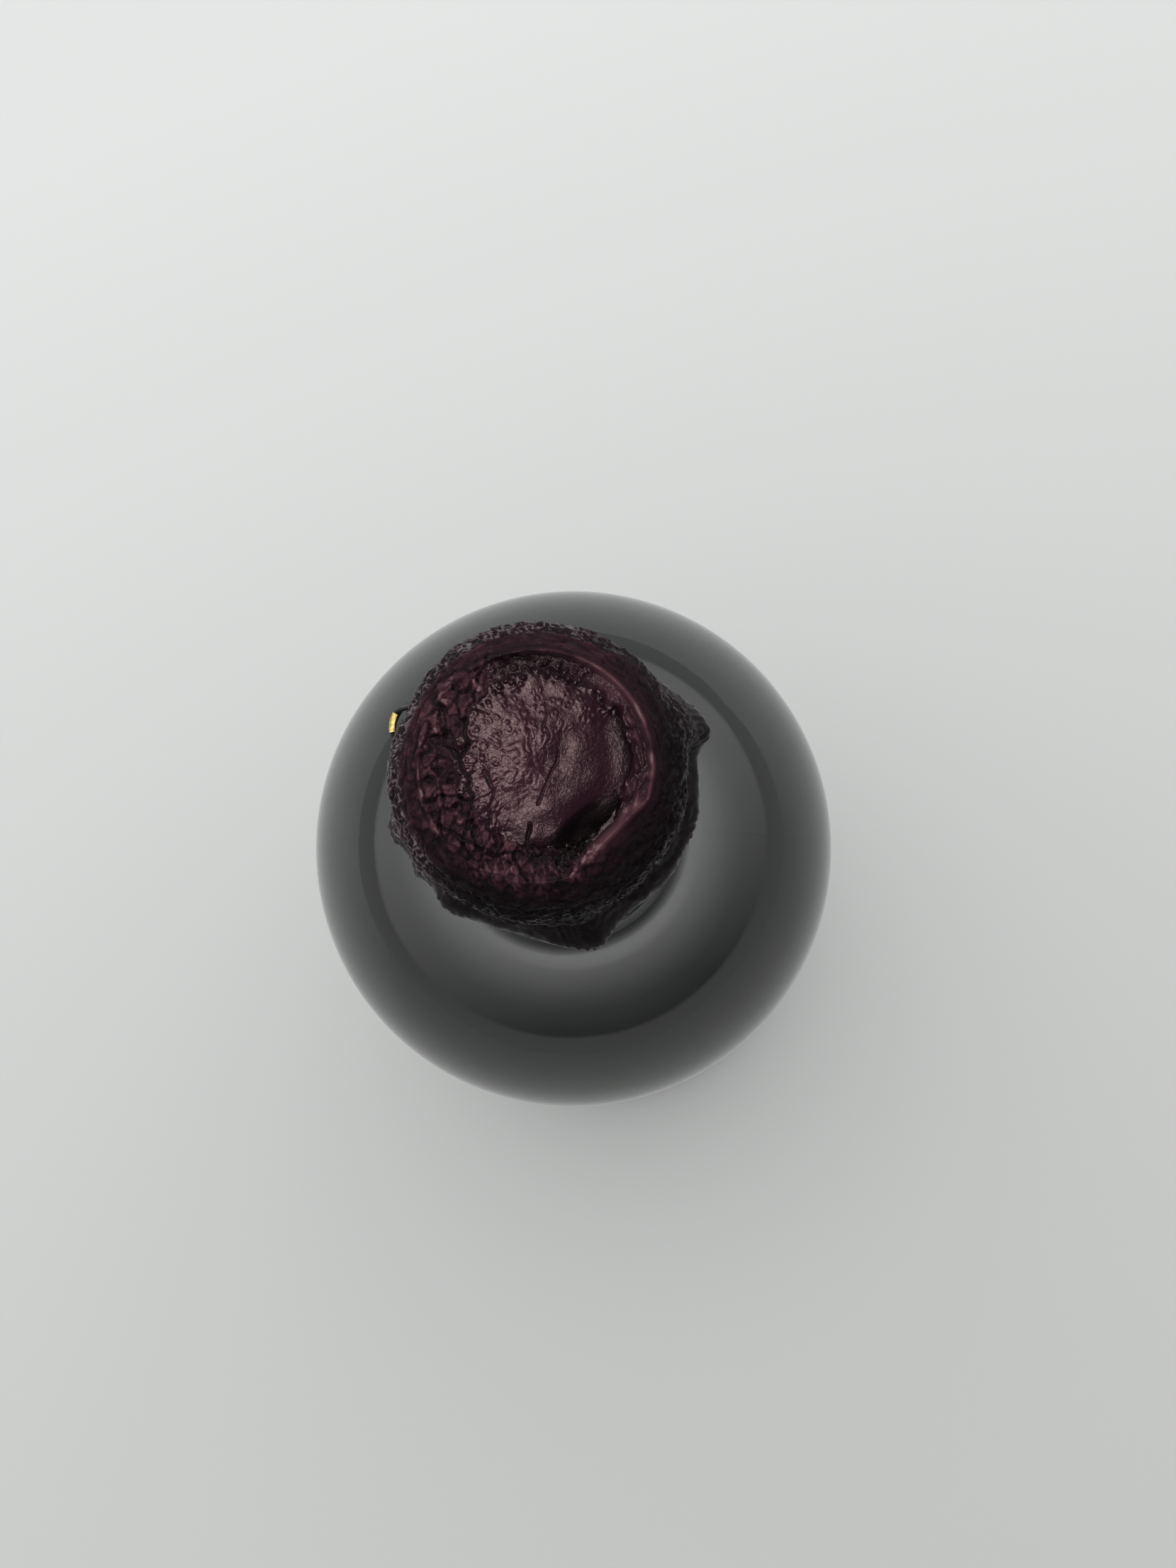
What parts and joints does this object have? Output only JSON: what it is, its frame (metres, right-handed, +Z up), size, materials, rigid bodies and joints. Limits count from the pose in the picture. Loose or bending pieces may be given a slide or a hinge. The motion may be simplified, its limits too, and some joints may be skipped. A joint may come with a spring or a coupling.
{
  "type": "wine bottle",
  "caption": "Sealed dark glass wine bottle with a straight body, round shoulder and slim neck, its mouth dipped in wrinkled wax with a pull strip and a small clip.",
  "frame": {"origin": "middle of the foot, on the surface the bottle stands on", "axes": "+Z up along the bottle's axis; -Y is the side the camera leans towards"},
  "size_m": [0.075, 0.075, 0.3017],
  "materials": {
    "dark_glass": "smooth, dark grey-green, looks almost opaque when full",
    "wax": "wrinkled sealing wax, soft gloss, deep burgundy brown",
    "black_strip": "thin glossy strip",
    "gold_clip": "polished pale gold"
  },
  "bodies": {
    "root": {"bottle": "dark_glass", "wax_seal": "wax", "pull_strip": "black_strip", "gold_clip": "gold_clip"}
  },
  "joints": []
}
